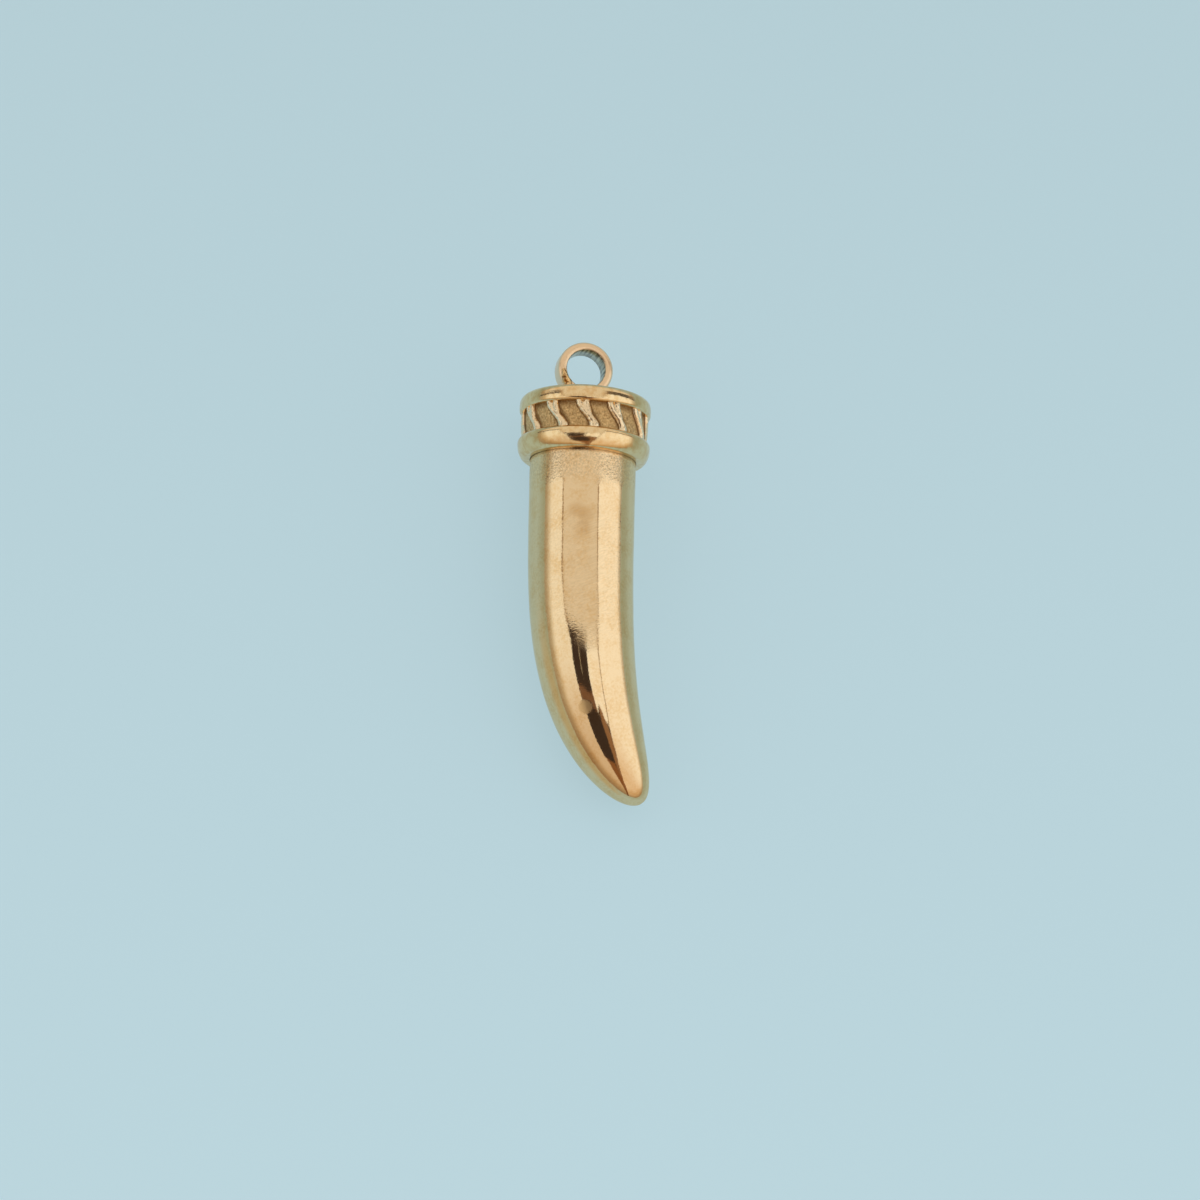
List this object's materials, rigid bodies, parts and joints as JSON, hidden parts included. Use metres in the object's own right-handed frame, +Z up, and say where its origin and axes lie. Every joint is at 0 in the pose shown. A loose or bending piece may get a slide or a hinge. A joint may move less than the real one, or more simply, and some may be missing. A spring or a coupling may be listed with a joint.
{
  "type": "cornicello horn pendant",
  "caption": "Polished gold coloured horn charm, curled to one side, in a ribbed cap with a soldered loop for a chain or jump ring.",
  "frame": {"origin": "middle of the pendant's footprint, on the surface that it lies on", "axes": "+Z up from that surface, +Y along the cap's axis to the loop, +X to the side that the horn's tip curls to"},
  "size_m": [0.0094, 0.0298, 0.0086],
  "materials": {
    "horn_metal": "gold coloured coating on steel, mirror polished, with a fine cast grain beside the cap",
    "cap_metal": "gold coloured coating on steel, polished on bead, rim and loop, matt cast grain between the ribs"
  },
  "bodies": {
    "root": {"horn": "horn_metal", "cap": "cap_metal"}
  },
  "joints": []
}
